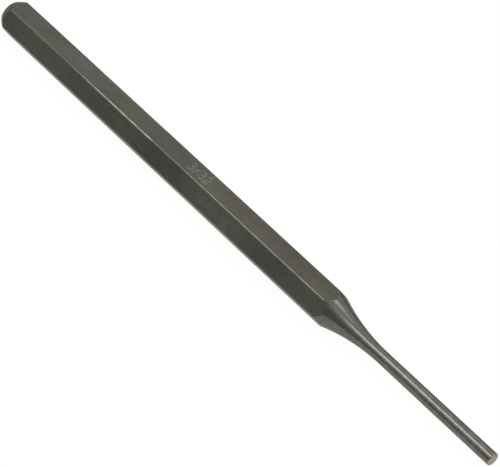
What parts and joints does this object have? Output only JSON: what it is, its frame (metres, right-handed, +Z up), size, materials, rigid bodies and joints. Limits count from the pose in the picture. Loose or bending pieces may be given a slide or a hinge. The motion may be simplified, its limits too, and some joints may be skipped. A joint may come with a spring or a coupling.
{
  "type": "pin punch",
  "caption": "Hand-held pin punch: a hexagonal bar with a chamfered striking end and a hollow turned neck that runs into a straight round driving pin.",
  "frame": {"origin": "under the middle of the punch's length, on the surface that its lower flat lies on", "axes": "+X along the punch from the striking face to the tip, +Z up, out of the flat opposite the one it lies on, +Y across"},
  "size_m": [0.127, 0.0072, 0.0063],
  "materials": {
    "oxide_steel": "satin black oxide on hardened tool steel, corners broken, pin and neck finely turned"
  },
  "bodies": {
    "root": {"punch": "oxide_steel"}
  },
  "joints": []
}
